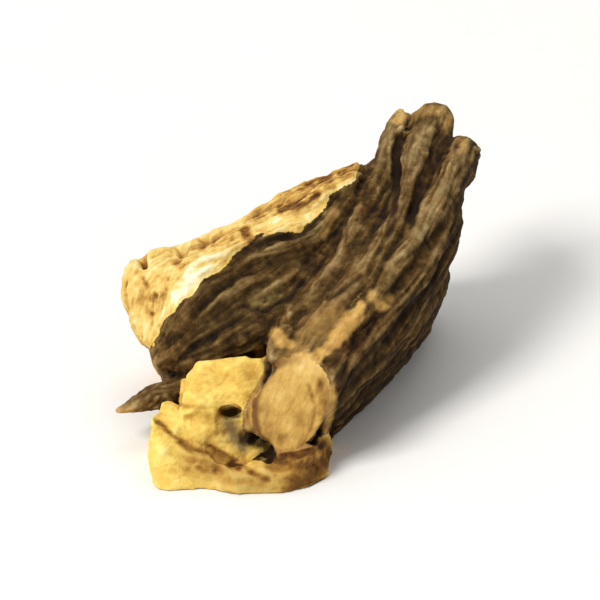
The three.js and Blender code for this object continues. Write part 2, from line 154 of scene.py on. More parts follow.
# Each mark is a line, its half width, its strength and how soft its edge is.
# Bared tan wood on the bark.
TAN_MARKS = [
    ([(3.3, 8.75), (4.3, 8.75), (5, 9.2), (5.7, 9.9)], 0.36, 1, 0.4),
    ([(5.6, 9.8), (6.3, 10.7), (6.8, 11.3)], 0.5, 1, 0.4),
    ([(6.7, 11.2), (7.2, 12)], 0.24, 0.9, 0.5),
    ([(2.1, 10.2), (2.4, 9.8), (2.9, 9.55)], 0.36, 0.95, 0.5),
    ([(3.4, 9.7), (3.6, 10.1)], 0.3, 0.35, 0.9),
    ([(7.8, 12.55)], 0.3, 0.7, 0.7),
    ([(8.45, 11.9)], 0.36, 0.9, 0.6),
    ([(8.9, 12.3)], 0.24, 0.5, 0.8),
    ([(2.8, 9.1), (3.8, 9.3)], 0.35, 0.4, 0.9),
    ([(4.4, 10.4), (5.4, 11.1)], 0.8, 0.35, 1),
    ([(10.3, 23.8), (11.4, 24.1), (12.4, 24)], 0.3, 0.4, 0.9),
    ([(12.7, 23.6), (12.5, 22.9)], 0.26, 0.6, 0.9),
    ([(13.5, 22.1), (13.6, 21.6)], 0.28, 0.45, 0.9),
    ([(9.8, 24.1), (9.55, 23.4)], 0.28, 1, 0.6),
    ([(1.1, 9.1), (1.25, 8.3)], 0.3, 0.9, 0.6),
    ([(1.1, 8.2), (0.85, 7.2), (0.65, 6.3), (0.4, 5.4), (0.3, 4.6)], 0.3, 0.8, 0.6),
    ([(5.3, 7), (5.5, 6.4), (5.3, 5.4), (5.1, 4.4)], 0.22, 0.8, 0.7),
    ([(5.6, 17.7), (5.2, 17), (4.95, 16.2)], 0.22, 0.45, 0.7),
    ([(-7.6, 5.35), (-6.9, 5.5)], 0.3, 0.6, 0.8),
]
# Painted shade in holes, gaps and deep furrows, and the shadow under the pale strip; the shape dents them in
# as well.
HOLLOW_SHADE_MARKS = [
    (HOLE, 0.34, 1, 0.3),
    ([(0.2, 3.9), (0.8, 3.7), (1.3, 3.5), (1.8, 2.9)], 0.34, 1, 0.5),
    ([(1.6, 2.7), (2.6, 2.6)], 0.16, 0.5, 0.8),
    ([(3.7, 13.3), (3.4, 12.8), (2.9, 12.3), (2.2, 12), (1.6, 11.6), (0.8, 11.6), (0.3, 11.8)],
     0.12, 0.4, 1),
    ([(12.3, 22.6), (11.6, 21), (10.9, 19.5), (10.6, 18.2), (10.3, 17)], 0.24, 0.75, 0.9),
    ([(9.5, 22), (9.4, 21.2), (9.4, 19), (9.2, 17), (8.9, 16.2)], 0.2, 0.7, 0.9),
    ([(1.6, 16), (3.2, 16), (4.1, 16.5), (4.8, 17.2)], 0.2, 0.6, 0.8),
    ([(5.2, 12.3), (6.2, 12.8), (7.2, 13.6)], 0.14, 0.45, 0.9),
    ([(1.5, 8.6), (1.7, 7.9)], 0.22, 0.5, 0.8),
]
# Dusty crests, and painted shade that darkens hollows and places in shade.
DUST_MARKS = [
    ([(0.8, 12), (1.2, 12.6)], 0.4, 0.8, 1),
    ([(1.3, 12.3), (2, 12.8)], 0.35, 0.9, 1),
    ([(11.6, 23.6), (10.8, 22), (10.3, 20.6)], 0.45, 1, 0.9),
    ([(10.2, 20.4), (9.8, 19), (9.6, 17.6), (9.5, 16.6)], 0.2, 0.2, 0.8),
    ([(13.3, 21.2), (12.8, 19.8), (12, 18.5), (11.4, 17.3), (11, 16.4)], 0.42, 1, 0.9),
    ([(13.3, 19.2), (12.6, 17.6), (12.2, 16.3), (11, 15), (10, 14.4), (9, 13.7)], 0.3, 0.55, 0.9),
    ([(4.5, 12.2), (6.6, 14.2)], 1.3, 0.45, 1),
    ([(4.9, 15.9), (5.5, 15.1), (6.2, 14.3)], 0.7, 1, 1),
    ([(1.8, 13.3), (2.4, 13.8)], 0.3, 0.4, 1),
    ([(7, 8.6), (8, 9.6)], 0.5, 0.6, 1),
]
PAINTED_SHADE_MARKS = [
    ([(3.7, 13.3), (3.4, 12.8), (2.9, 12.3), (2.2, 12), (1.6, 11.5), (0.8, 11.5), (0.3, 11.7)],
     0.28, 1, 1),
    ([(-3.6, 9), (-1.5, 9.4), (0.3, 10), (1.3, 10.9)], 0.9, 1, 1),
    ([(-2.4, 11.9), (-1.8, 11.8)], 0.5, 0.4, 1),
    ([(2, 14.9), (4, 15.4)], 0.6, 0.4, 1),
    ([(8.4, 19.5), (8, 17)], 0.8, 0.5, 1),
    ([(5.9, 8.8), (6.6, 9.5)], 0.4, 0.3, 1),
    ([(9.7, 20.2), (9.4, 18.6)], 0.4, 0.7, 1),
]
# Olive and reddish patches, and a painted grey shadow below the hole.
OLIVE_MARKS = [
    ([(0.8, 12), (1.2, 12.6)], 0.4, 0.7, 1),
    ([(1.3, 12.3), (2, 12.8)], 0.35, 0.6, 1),
    ([(9.7, 23.9), (9.2, 22.9), (8.5, 22.1), (7.9, 21.4)], 0.2, 0.8, 0.7),
    ([(0.2, 3.8), (0.5, 3.4)], 0.3, 0.5, 0.8),
]
RUDDY_MARKS = [
    ([(7.1, 18.9), (6.9, 18)], 0.4, 0.5, 1),
    ([(4.6, 10.9), (5.4, 11.5)], 0.7, 0.6, 1),
    ([(6.4, 9.1), (7.2, 9.6)], 0.5, 0.4, 1),
]
SHADOW_BELOW_HOLE_MARKS = [
    ([(-0.75, 4.8), (-0.5, 4.2), (-0.1, 3.5)], 0.5, 1, 0.8),
]
# Brown stains in the cut wood, partly painted shade under ledges, in creases and below the oval; and painted
# highlights on the pale wood.
STAIN_AND_SHADE_MARKS = [
    ([(0.1, 16.4), (0.5, 15.9)], 0.32, 0.8, 0.6),
    ([(2.4, 17.8), (3.4, 18), (4.4, 18.6)], 0.34, 1, 0.7),
    ([(1, 17.5), (2.4, 18.2), (3.9, 19.1), (5.6, 20.1)], 0.4, 0.6, 1),
    ([(6, 20.1), (6.9, 20.3)], 0.35, 0.6, 1),
    ([(-5.5, 12.4), (-4.8, 12.5)], 0.24, 0.5, 0.9),
    ([(-5.25, 12.5)], 0.16, 0.9, 0.7),
    ([(-5.5, 11.4)], 0.14, 0.7, 0.8),
    ([(-4.6, 12.9)], 0.14, 0.6, 0.8),
    ([(-6, 13.5), (-5.8, 13.1)], 0.14, 0.6, 0.9),
    ([(-4.9, 10.6)], 0.2, 0.4, 0.9),
    ([(-4, 14.6), (-3.7, 14.3)], 0.28, 0.5, 0.9),
    ([(-6.1, 15), (-6, 14.3)], 0.2, 0.6, 0.9),
    ([(-4.2, 15.3), (-2.4, 15.4)], 0.3, 0.35, 1),
    ([(6.4, 20.1), (6.9, 20.2)], 0.16, 0.7, 0.8),
    ([(-5, 4.9), (-4.2, 4.2), (-3.6, 3.7)], 0.13, 0.8, 0.8),
    ([(-3.7, 3.7), (-3.1, 3.3)], 0.24, 0.8, 0.8),
    ([(-3, 3.3), (-1.8, 3), (-0.6, 2.6), (-0.1, 2.2)], 0.2, 0.45, 0.9),
    ([(-0.6, 2.4), (-0.2, 2.2)], 0.2, 1, 0.7),
    ([(-2, 3.5), (-1.2, 3.1), (-0.3, 2.6)], 0.12, 0.6, 0.9),
    ([(-3.4, 2.8), (-3, 2.6), (-1.8, 2.4)], 0.2, 0.3, 1),
    ([(-2.4, 2.3), (-1.5, 2.1)], 0.3, 0.4, 1),
    ([(0.6, 1.9), (1.6, 1.5)], 0.18, 0.6, 0.9),
    ([(2, 2.4), (3.4, 2.3), (4.8, 2.6)], 0.5, 0.6, 1),
    ([(2.4, 2.9), (3.6, 2.95), (4.9, 3.5)], 0.34, 0.8, 0.9),
    ([(3.3, 1), (4.4, 1.5), (5.3, 2.8)], 0.7, 0.8, 1),
    ([(-2.6, 5.2), (-1.6, 5.3)], 0.4, 0.25, 1),
    ([(-3.7, 5.9), (-2.4, 5.75), (-1.3, 5.7)], 0.1, 0.25, 0.9),
    ([(0.5, 8.3), (0.4, 6.3)], 0.4, 0.22, 1),
    ([(2, 3.2), (3.2, 3.1)], 0.14, 0.4, 0.9),
    ([(4.4, 3.6), (4.8, 3.4)], 0.22, 1, 0.8),
    ([(4, 7.1), (4.4, 5.9), (4.25, 4.6), (3.75, 3.75), (3.4, 3.3)], 0.12, 0.6, 0.8),
    ([(4.85, 7.2), (5.05, 6.2), (5, 5.2), (4.7, 4.4)], 0.3, 0.9, 0.9),
    ([(1.9, 4.2), (2.6, 3.8)], 0.45, 0.4, 1),
    ([(-5.1, 10.2), (-4.8, 9.8)], 0.25, 0.4, 1),
]
PALE_AND_HIGHLIGHT_MARKS = [
    ([(-3.9, 12.5), (-3.2, 13.3), (-2.2, 14.4)], 0.55, 1, 0.8),
    ([(-1.9, 14.7), (-1, 15.1)], 0.35, 0.6, 0.8),
    ([(-5.9, 10.4), (-5.6, 11.4)], 0.4, 0.3, 1),
    ([(1.1, 16.7), (2.4, 17), (3.6, 17.1), (4.6, 17.9)], 0.32, 0.3, 0.8),
    ([(4.9, 18.4), (5.4, 18.9)], 0.24, 0.5, 0.8),
    ([(6, 19.2), (6.9, 19.5)], 0.24, 0.7, 0.8),
    ([(-4.2, 5.2), (-3.4, 4.7), (-2.9, 4.8)], 0.5, 0.8, 0.9),
    ([(-4.8, 1.8), (-4.9, 3.6)], 0.45, 0.6, 1),
    ([(-4.2, 1.6), (-3.6, 1.5)], 0.3, 0.6, 0.9),
    ([(-2.3, 1.3), (-1, 0.98), (0.5, 0.9), (1.4, 0.7)], 0.18, 0.7, 0.9),
    ([(0.4, 2.4), (0.8, 2.1), (1.6, 1.9)], 0.14, 0.5, 0.9),
    ([(-1.8, 7.8), (-1.4, 6.8)], 0.8, 0.4, 1),
    ([(3.4, 8.3), (4.6, 8.2)], 0.4, 0.7, 0.9),
    ([(4.9, 6.9), (5, 6.5)], 0.2, 0.5, 0.8),
    ([(4.8, 4.7)], 0.22, 0.5, 0.8),
]
# Where the golden wood is a duller tan, and where the bark is worn smooth.
TAWNY_MARKS = [
    ([(-2.7, 2.7), (-1.8, 2.4), (-0.4, 1.5), (1.4, 1.4)], 0.9, 1, 1),
    ([(2, 1.6), (3.4, 1.6), (4.8, 2.4)], 0.9, 0.9, 1),
    ([(2.6, 2.9), (3.6, 2.9), (4.8, 3.4)], 0.5, 1, 0.9),
    ([(-2.4, 3.8), (-1.4, 3.8)], 0.5, 0.4, 1),
]
SMOOTH_MARKS = [
    ([(-3.6, 10.4), (-1.4, 11.2)], 1.2, 0.4, 0.9),
    ([(9.8, 24.3), (9.7, 23.4)], 0.4, 1, 0.5),
    ([(11.3, 23.3), (10.4, 20.8), (9.8, 18.5)], 0.5, 0.5, 1),
    ([(13.2, 21), (12.6, 19), (11.5, 17)], 0.55, 0.5, 1),
    ([(4, 11.2), (6, 13.2)], 1, 0.4, 1),
]
# Where the shape is rounder, where it stands out and where it is notched.
ROUND_MARKS = [
    ([(10.9, 24.2), (12.6, 24), (13, 23.4)], 0.9, 1, 0.6),
    ([(13.4, 22.2), (14.3, 21.6), (14.5, 20.6)], 0.7, 1, 0.6),
    ([(-1.5, 6.1), (-0.5, 6.3)], 0.5, 1, 0.6),
    ([(-4.5, 8)], 0.5, 1, 0.6),
]
FULL_MARKS = [
    ([(10, 23.2), (9.88, 22.5)], 0.34, 1, 0.5),
    ([(-6.8, 14.7)], 0.26, 0.7, 0.8),
    ([(-4.6, 15.6)], 0.4, 0.5, 0.8),
]
NOTCH_MARKS = [
    ([(-6.15, 15.4), (-5.95, 14.4)], 0.24, 1, 0.5),
    ([(-3.9, 16.2), (-3.6, 15.1)], 0.28, 1, 0.7),
    ([(-2.4, 16.4), (-2.3, 15.9)], 0.3, 0.6, 0.8),
]
# How far the edges of the marks waver, as a share of the half width, and over what length.
MARK_WAVER = 0.4
MARK_WAVER_LENGTH = 0.7

# How many places along a rod are measured from, and how far apart the rods' patterns start.
SAMPLES = 90
PATTERNS_APART = 17

# The fine surface: the size of its faces, how often it is smoothed, and how much a point follows
# a neighbour across a rim.
CELL = 0.14
SMOOTHING_PASSES = 14
ACROSS_RIM = 0.12

# Where the kinds of surface begin and end.
ON_ROD = 0.3
ON_KNOB = 0.15
FOOT_BACK = 9
SPUR_RIGHT = -3.6
EDGE_RAGGED = 0.25
EDGE_RAGGED_LENGTH = 0.9
LEFT_BARE_OVER = 9.3
LEFT_BARE_BEHIND = 13
FAR_RIM_OVER_EDGE = 1.2
FAR_RIM_RIGHT = 5
FAR_RIM_LOWEST = 7
OVAL_REACH = 1.07
UNDER_OVAL_REACH = 0.5
UNDER_OVAL_HEIGHT = 3
UNDER_OVAL_BACK = 6
BOTTOM_HEIGHT = 0.12

# Flat facets of the golden foot and of the split wood: their size, how flat they are and a seed.
FOOT_FACETS = (1.8, 0.75, 5)
SPLIT_FACETS = (1.1, 0.4, 6)

# Lengths of the relief's waves along the grain, across it and above it.
WEAVE = (2.6, 1.5, 1.5)
WRINKLES = (5.5, 1.15, 1.15)
FINE_WRINKLES = (2.6, 0.46, 0.46)
RINGS = (0.55, 2.2, 2.2)
FIBRES = (2.8, 0.34, 0.5)
LEDGES = (4, 0.9, 1.5)
PITS = (1.8, 0.6, 0.8)

# How far the relief and the marks stand out or go in.
WRINKLE_MEAN = 0.16
SCRAPED_DEPTH = 0.06
DARK_DEPTH = 0.22
BROWN_DEPTH = 0.16
BROWN_DEPTH_ON_OVAL = 0.04
HOLE_DEPTH = 0.5
FULL_HEIGHT = 0.4
NOTCH_DEPTH = 0.9


# Noise and small sums, with each pattern's seed as the last argument

RANDOM = np.random.default_rng(7)
SHUFFLED = RANDOM.permutation(256)
SLOPES = RANDOM.normal(size=(256, 3))
SLOPES /= np.linalg.norm(SLOPES, axis=1, keepdims=True)


def unit(vectors):
    """The same directions with a length of one."""
    vectors = np.asarray(vectors, float)
    return vectors / np.maximum(np.linalg.norm(vectors, axis=-1, keepdims=True), 1e-12)


def dot(a, b):
    return (a * b).sum(-1)


def step(low, high, values):
    """Goes smoothly from 0 at low to 1 at high."""
    t = np.clip((values - low) / (high - low), 0, 1)
    return t * t * (3 - 2 * t)


def noise(places, seed):
    """Smooth noise, about -1 to 1, with one wave in about two units."""
    cell = np.floor(places).astype(np.int64)
    part = places - cell
    ease = part ** 3 * (part * (part * 6 - 15) + 10)
    total = np.zeros(len(places))
    for corner in itertools.product((0, 1), repeat=3):
        x, y, z = ((cell + corner) & 255).T
        slope = SLOPES[SHUFFLED[(SHUFFLED[(SHUFFLED[(x + seed) & 255] + y) & 255] + z) & 255]]
        share = np.prod(np.where(corner, ease, 1 - ease), axis=1)
        total += share * dot(part - corner, slope)
    return 1.5 * total


def layered(places, layers, seed):
    """Noise of several sizes, each half as large and half as strong as the one before."""
    return sum(noise(places * 2 ** i, seed + 31 * i) / 2 ** i for i in range(layers))


def creased(places, seed):
    """Rounded lumps with sharp valleys between them, from 0 in a valley to about 1."""
    return np.abs(noise(places, seed)) * 1.6


# Rods that the solid is made of, as measures for the surface

def curve(points):
    """Places along a smooth curve through points, at even steps of its parameter."""
    p = np.array(points, float)
    p = np.vstack([2 * p[0] - p[1], p, 2 * p[-1] - p[-2]])
    t = np.linspace(0, len(points) - 1, SAMPLES)
    i = np.minimum(t.astype(int), len(points) - 2)
    w = (t - i)[:, None]
    a, b, c, d = p[i], p[i + 1], p[i + 2], p[i + 3]
    ab, bc, cd = (np.sqrt(np.linalg.norm(v - u, axis=1, keepdims=True)) for u, v in ((a, b), (b, c), (c, d)))
    start = ((b - a) / ab - (c - a) / (ab + bc) + (c - b) / bc) * bc
    end = ((c - b) / bc - (d - b) / (bc + cd) + (d - c) / cd) * bc
    return b + start * w + (3 * (c - b) - 2 * start - end) * w ** 2 + (2 * (b - c) + start + end) * w ** 3


def along(values):
    return np.interp(np.linspace(0, 1, SAMPLES), np.linspace(0, 1, len(values)), values)


class Rod:
    """A bent and tapered rod of oval section. With sink 1 its spine is its crest."""

    def __init__(self, spine, width, height, out, sink=0):
        self.place = curve(spine)
        self.tangent = unit(np.gradient(self.place, axis=0))
        out = unit(out)
        self.up = unit(out - self.tangent * (self.tangent @ out)[:, None])
        self.side = np.cross(self.tangent, self.up)
        self.width = along(width)
        self.height = along(height)
        self.place = self.place - self.up * (sink * self.height)[:, None]
        steps = np.linalg.norm(np.diff(self.place, axis=0), axis=1)
        self.arc = np.concatenate([[0], np.cumsum(steps)])

    def measure(self, points):
        """How far outside the rod each point is, and its place in it: along, aside and above."""
        square = (self.place ** 2).sum(1)
        nearest = np.concatenate([
            np.argmin(square - 2 * part @ self.place.T, axis=1)
            for part in np.array_split(points, max(1, len(points) // 20000))
        ])
        offset = points - self.place[nearest]
        extra = dot(offset, self.tangent[nearest])
        aside = dot(offset, self.side[nearest])
        above = dot(offset, self.up[nearest])
        width, height = self.width[nearest], self.height[nearest]
        radius = np.hypot(aside / width, above / height)
        outside = (radius - 1) * np.sqrt(width * height)
        at_end = (nearest == 0) | (nearest == SAMPLES - 1)
        outside = np.where(at_end, np.maximum(outside, np.abs(extra)), outside)
        return outside, np.stack([self.arc[nearest] + extra, aside, above], axis=1), self.tangent[nearest]


def turned(start, end, degrees):
    angle = math.radians(degrees)
    return unit(start) * math.cos(angle) + unit(end) * math.sin(angle)


def ridge(crest, width, out):
    width = np.array(width)
    return Rod(crest, width * RIDGE_HALF_WIDTH, np.sqrt(width) * RIDGE_HALF_HEIGHT, out, sink=1)


def keel_ridge(degrees):
    """A ridge that follows the surface of the keel, turned round it from its top."""
    core = Rod(*KEEL_CORE)
    angle = math.radians(degrees)
    at = [round(place * (SAMPLES - 1)) for place in KEEL_RIDGE_PLACES]
    aside = math.sin(angle) * (core.width[at] + KEEL_RIDGE_STANDS_OUT)
    above = math.cos(angle) * (core.height[at] + KEEL_RIDGE_STANDS_OUT)
    crest = core.place[at] + core.side[at] * aside[:, None] + core.up[at] * above[:, None]
    return ridge(crest, KEEL_RIDGE_WIDTH, turned(LIMB_OUT, LIMB_FLANK, degrees))


# The surface

def even_copy(node):
    """A new object with the node's shape, in millimetres and with small even faces."""
    mesh = node.data.copy()
    mesh.transform(Matrix.Translation(Vector(MIDDLE)) @ Matrix.Scale(1 / MM, 4))
    made = link("root_chip", mesh)
    even = made.modifiers.new("even", "REMESH")
    even.mode = "VOXEL"
    even.voxel_size = CELL
    even.use_smooth_shade = True
    shown = made.evaluated_get(bpy.context.evaluated_depsgraph_get())
    fine = bpy.data.meshes.new_from_object(shown)
    made.modifiers.clear()
    made.data = fine
    fine.name = "root_chip"
    return made


class Skin:
    """An even mesh of small faces, with sums over each point's neighbours."""

    def __init__(self, node):
        self.object = even_copy(node)
        self.mesh = self.object.data
        self.count = len(self.mesh.vertices)
        edges = np.empty(2 * len(self.mesh.edges), np.int32)
        self.mesh.edges.foreach_get("vertices", edges)
        edges = edges.reshape(-1, 2)
        self.start, self.end = np.concatenate([edges, edges[:, ::-1]]).T.copy()
        self.read()

    def read(self):
        self.points, self.normals = self.values_of("co"), self.values_of("normal")

    def values_of(self, name):
        values = np.empty(3 * self.count, np.float32)
        self.mesh.vertices.foreach_get(name, values)
        return values.reshape(-1, 3).astype(float)

    def move_to(self, points):
        self.mesh.vertices.foreach_set("co", points.astype(np.float32).ravel())
        self.mesh.update()
        self.read()

    def mean(self, values, weights=None):
        """The mean of each point's neighbours."""
        weights = np.ones(len(self.end)) if weights is None else weights
        total = np.bincount(self.end, weights, self.count) + 1e-9
        columns = values.reshape(self.count, -1).T
        sums = [np.bincount(self.end, weights * column[self.start], self.count) for column in columns]
        return (np.stack(sums, axis=1) / total[:, None]).reshape(values.shape)

    def spread(self, values, passes, weights=None):
        """The values after they have been evened out with their neighbours a few times."""
        for _ in range(passes):
            values = 0.5 * values + 0.5 * self.mean(values, weights)
        return values


# Regions of the surface

KINDS = ["bark", "cream", "broken", "left", "oval", "back", "foot", "spur", "knob", "bottom"]


def is_kind(kind, *names):
    """Which points are of one of the named kinds."""
    return np.isin(kind, [KINDS.index(name) for name in names])


def label(kind, name, here):
    kind[here] = KINDS.index(name)


def seen(points):
    """How far right and how far up each point is, as seen from the front."""
    return np.stack([points[:, 0], points @ SEEN_UP], axis=1)


def on_face(points, normals, face, reach=0.65, tilt=0.35):
    """Which points lie near the plane of a face and look the same way."""
    point, normal, _ = face
    normal = unit(normal)
    return (np.abs((points - point) @ normal) < reach) & (normals @ normal > tilt)


def across_face(points, face):
    """Places on a cut face: along its fibres, across them and above it."""
    point, normal, grain = face
    normal = unit(normal)
    grain = unit(grain - normal * np.dot(grain, normal))
    axes = np.stack([grain, np.cross(normal, grain), normal])
    return (points - point) @ axes.T


def distance_to(places, line):
    """How far each place of the front is from a line of short straight runs."""
    away = np.full(len(places), 1e9)
    for start, end in zip(np.array(line[:-1] or line), np.array(line[1:] or line)):
        run = end - start
        t = np.clip((places - start) @ run / max(run @ run, 1e-9), 0, 1)
        away = np.minimum(away, np.linalg.norm(places - start - t[:, None] * run, axis=1))
    return away


def marked(skin, marks, seed):
    """How strongly each point is marked, from 0 to 1, on the side that faces the front."""
    places = seen(skin.points)
    waver = MARK_WAVER * layered(skin.points / MARK_WAVER_LENGTH, 3, seed)
    total = np.zeros(skin.count)
    for line, half_width, strength, soft in marks:
        away = distance_to(places, line) / half_width + waver
        total = np.maximum(total, strength * step(1 + soft, 1 - soft, away))
    return total * step(-0.3, 0.1, skin.normals @ TO_VIEWER)


def bark_rods():
    """The rods of the limb and those of the rest, each with its ridges first."""
    limb = [ridge(crest, width, turned(LIMB_OUT, LIMB_FLANK, turn)) for crest, turn, width in LIMB_RIDGES]
    limb.append(Rod(*LIMB_CORE))
    rest = [ridge(crest, width, turned(LOBE_OUT, LOBE_UNDER, turn)) for crest, turn, width in LOBE_RIDGES]
    rest += [keel_ridge(turn) for turn in KEEL_RIDGE_TURNS]
    rest += [Rod(*core) for core in (LOBE_CORE, REAR_CORE, KEEL_CORE, FAR_RIM)]
    return limb, rest


def nearest_rods(skin):
    """Which points are on the limb and which on the rest, each one's places in its two nearest rods,
    the second one's share and whether the surface lies across the first."""
    limb, rest = bark_rods()
    measures = [rod.measure(skin.points) for rod in limb + rest]
    outside = np.stack([measure[0] for measure in measures])
    places = np.stack([measure[1] + (PATTERNS_APART * i, 0, 0) for i, measure in enumerate(measures)])
    order = np.argsort(np.abs(outside), axis=0)[:2]
    each = np.arange(skin.count)
    first, second = places[order, each]
    gap = np.diff(np.abs(outside)[order, each], axis=0)[0]
    share = 0.5 * step(0.4, 0, gap)
    tangent = np.stack([measure[2] for measure in measures])[order[0], each]
    end_on = step(0.5, 0.85, np.abs(dot(skin.spread(skin.normals, 6), tangent)))
    on_limb = outside[:len(limb)].min(0) < ON_ROD
    on_rest = outside[len(limb):].min(0) < ON_ROD
    return on_limb, on_rest, first, second, share, end_on


def label_bare_wood(skin, normals, on_lobe, kind):
    """Labels the split and broken faces of the lobe, and the rim behind its top."""
    points = skin.points
    right, up = seen(points).T
    ragged = EDGE_RAGGED * layered(points / EDGE_RAGGED_LENGTH, 3, 5)
    edge = np.interp(right, *np.transpose(BARK_EDGE))
    over_edge = (up + ragged > edge) | (points[:, 0] < BARK_EDGE[0][0])
    left_bare = (up + ragged > LEFT_BARE_OVER) | (points[:, 1] > LEFT_BARE_BEHIND)
    covers = {"back": True, "left": left_bare, "broken": over_edge, "cream": over_edge}
    for name, cover in covers.items():
        here = on_lobe & on_face(points, normals, FACES[name]) & cover
        label(kind, name, skin.spread(here, 6) > 0.5)
    far_rim = on_lobe & is_kind(kind, "bark") & (up > edge + FAR_RIM_OVER_EDGE) & (normals[:, 2] > -0.1)
    label(kind, "cream", far_rim & (points[:, 0] < FAR_RIM_RIGHT) & (points[:, 2] > FAR_RIM_LOWEST))


def kinds_of(skin, on_limb, on_rest):
    """The kind of each point, as its number in KINDS."""
    points = skin.points
    normals = unit(skin.spread(skin.normals, 2))
    kind = np.full(skin.count, KINDS.index("bark"))
    label(kind, "foot", ~on_limb & ~on_rest & (points[:, 1] < FOOT_BACK))
    label(kind, "spur", (Rod(*SPUR).measure(points)[0] < ON_ROD) & (points[:, 0] < SPUR_RIGHT))
    label_bare_wood(skin, normals, on_rest & ~on_limb, kind)
    label(kind, "knob", Rod(*KNOB).measure(points)[0] < ON_KNOB)
    end = on_limb & on_face(points, normals, FACES["oval"], reach=0.4, tilt=0.6)
    label(kind, "oval", end & (oval_place(points)[0] < OVAL_REACH))
    under = distance_to(seen(points), UNDER_OVAL) < UNDER_OVAL_REACH
    under &= (points[:, 2] < UNDER_OVAL_HEIGHT) & (points[:, 1] < UNDER_OVAL_BACK)
    label(kind, "foot", under & (normals @ TO_VIEWER > 0.1) & is_kind(kind, "bark"))
    label(kind, "bottom", (points[:, 2] < BOTTOM_HEIGHT) & (normals[:, 2] < -0.6))
    return kind


def sorted_out(skin):
    """The kind of each point, and what nearest_rods gives with the cut faces' own grain in it."""
    on_limb, on_rest, first, second, share, end_on = nearest_rods(skin)
    kind = kinds_of(skin, on_limb, on_rest)
    for name, face in FACES.items():
        here = is_kind(kind, name)
        first[here] = across_face(skin.points[here], face)
        share[here] = 0
        end_on[here] = 0
    return kind, first, second, share, end_on


def shares(skin, kind, groups, passes):
    """How much each point belongs to each group of kinds, with soft borders."""
    masks = [is_kind(kind, *group.split()) for group in groups]
    return skin.spread(np.stack(masks, 1), passes).T


def near_seam(skin, kind):
    """How near each point is to a border between two kinds, from 0 to 1."""
    differs = kind[skin.start] != kind[skin.end]
    border = np.bincount(skin.end, differs, skin.count) > 0
    return step(0, 0.5, skin.spread(border, 3))


# Shape of the surface

def smoothed(skin, kind):
    """Takes the solid's facets off, and keeps the rims between a cut face and the bark."""
    same = kind[skin.start] == kind[skin.end]
    weights = np.where(same, 1.0, ACROSS_RIM)
    points = skin.spread(skin.points, SMOOTHING_PASSES, weights)
    crisper = skin.spread(skin.points, SMOOTHING_PASSES // 3, weights)
    crisp = skin.spread(is_kind(kind, "foot"), 2)[:, None]
    points = points * (1 - crisp) + crisp * crisper
    points[is_kind(kind, "bottom"), 2] = 0
    skin.move_to(points)


def planed(skin, here, size, amount, seed):
    """Breaks a region up into flat facets about as wide as size."""
    chosen = np.flatnonzero(here)
    points, normals = skin.points[chosen], skin.normals[chosen]
    random = np.random.default_rng(seed)
    seeds = points[random.permutation(len(points))[:int(len(points) * (CELL / size) ** 2) + 4]]
    warped = points + 0.25 * size * np.stack([noise(points / size, seed + i) for i in range(3)], 1)
    cell = np.argmin((seeds ** 2).sum(1) - 2 * warped @ seeds.T, axis=1)
    sums = [np.bincount(cell, column, len(seeds)) for column in np.hstack([points, normals]).T]
    sums = np.stack(sums, 1) / np.maximum(np.bincount(cell, None, len(seeds)), 1)[:, None]
    middle, facing = sums[cell, :3], unit(sums[cell, 3:])
    moved = skin.points.copy()
    moved[chosen] = points - amount * facing * dot(points - middle, facing)[:, None]
    return moved


def relief_of(skin, passes):
    """How far each point stands out from the surface round it, in millimetres."""
    return dot(skin.points - skin.spread(skin.points, passes), skin.normals)


def bark_height(points, place):
    """Wrinkles along the ridges, with rings across them and small lumps."""
    woven = place + 0.4 * noise(place / WEAVE, 3)[:, None] * (0, 1, 0)
    coarse = creased(woven / WRINKLES, 11)
    fine = creased(woven / FINE_WRINKLES, 12)
    rings = creased(place / RINGS, 13)
    ringed = step(0, 0.6, noise(points / 2.6, 14))
    puckered = 0.4 + 0.6 * step(-0.3, 0.5, noise(points / 1.8, 16))
    lumps = layered(points / 0.9, 2, 17)
    return 0.2 * coarse + 0.15 * puckered * fine + 0.06 * rings * ringed + 0.05 * lumps


def split_height(points, place):
    """Fibres, splintered ledges and crumbled pits of broken wood."""
    fibres = creased(place / FIBRES, 21)
    ledges = layered(place / LEDGES, 2, 22) * 3
    ledges = np.floor(ledges) + step(0.55, 1.0, ledges - np.floor(ledges))
    pits = step(0.4, 0.75, layered(place / PITS, 2, 23))
    return 0.08 * fibres + 0.11 * ledges - 0.12 * pits + 0.04 * layered(points / 0.5, 3, 24)


def foot_height(points):
    """Grain, pits and low ledges of the golden wood."""
    grain = creased(points / 1.4, 31)
    pits = step(0.45, 0.7, noise(points / 0.6, 33))
    ledges = layered(points * (0.35, 0.35, 1.1), 2, 32) * 2
    ledges = np.floor(ledges) + step(0.7, 1.0, ledges - np.floor(ledges))
    return 0.03 * grain - 0.07 * pits + 0.05 * ledges + 0.035 * layered(points / 0.45, 3, 34)


def oval_place(points):
    """Distance from the middle of the oval end, 1 at its rim, and the angle round it."""
    tilt = math.radians(OVAL_TILT)
    right, up = (seen(points) - OVAL_MIDDLE).T
    across = (right * math.cos(tilt) - up * math.sin(tilt)) / OVAL_HALF[0]
    upwards = (right * math.sin(tilt) + up * math.cos(tilt)) / OVAL_HALF[1]
    waver = 0.05 * layered(points / 1.6, 2, 40)
    return np.hypot(across, upwards) + waver, np.arctan2(upwards, across)


def ring_share(angle):
    """How much of the oval's edge is brown at an angle round it: all on the left, none on the right."""
    return step(-0.3, 0.7, -np.cos(angle - 0.1))


def oval_height(points):
    """A shallow dish with upright fibres, and a groove along its left edge."""
    radius, angle = oval_place(points)
    dish = -0.12 * (1 - np.minimum(radius, 1) ** 2)
    groove = -0.16 * ring_share(angle) * np.exp(-((radius - 1.0) / 0.07) ** 2)
    fibres = 0.04 * creased(points * (2.6, 0.8, 0.5), 42)
    return dish + groove + fibres + 0.06 * layered(points / 0.6, 3, 43)


